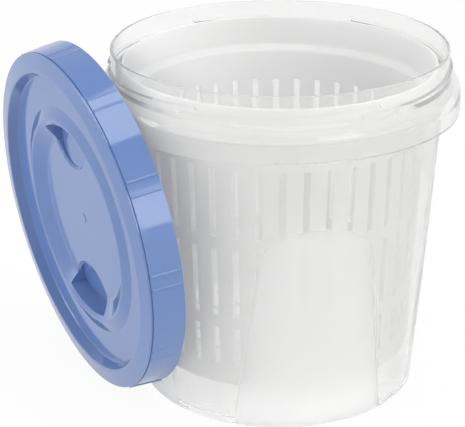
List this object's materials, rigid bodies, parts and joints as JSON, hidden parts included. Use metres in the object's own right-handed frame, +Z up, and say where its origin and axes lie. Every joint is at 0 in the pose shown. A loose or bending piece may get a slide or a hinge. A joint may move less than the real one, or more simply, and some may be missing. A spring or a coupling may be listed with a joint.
{
  "type": "pickle jar with strainer",
  "caption": "Clear plastic pickle jar with a slotted lift-out strainer basket and a dished screw lid standing on its edge beside it.",
  "frame": {"origin": "centre of the jar's resting face, on the surface it stands on", "axes": "+Z up the jar's axis, -Y towards the picture's viewer, +X to the viewer's right; the lid stands on the -X side"},
  "size_m": [0.2281, 0.1734, 0.1717],
  "materials": {
    "jar": "clear, frosted in the four side panels",
    "strainer": "white, translucent, satin",
    "lid": "periwinkle blue, translucent, satin gloss",
    "lid_gasket": "white, soft, matt"
  },
  "bodies": {
    "jar": {"jar": "jar"},
    "strainer": {"strainer": "strainer"},
    "lid": {"lid": "lid", "lid_gasket": "lid_gasket"}
  },
  "joints": [
    {"name": "strainer_lift", "type": "slide", "parent": "jar", "child": "strainer", "axis": [0, 0, 1], "range_m": [0, 0.16]},
    {"name": "lid_lift", "type": "slide", "parent": "jar", "child": "lid", "axis": [-0.6124, -0.3536, 0.7071], "range_m": [0, 0.15]}
  ]
}
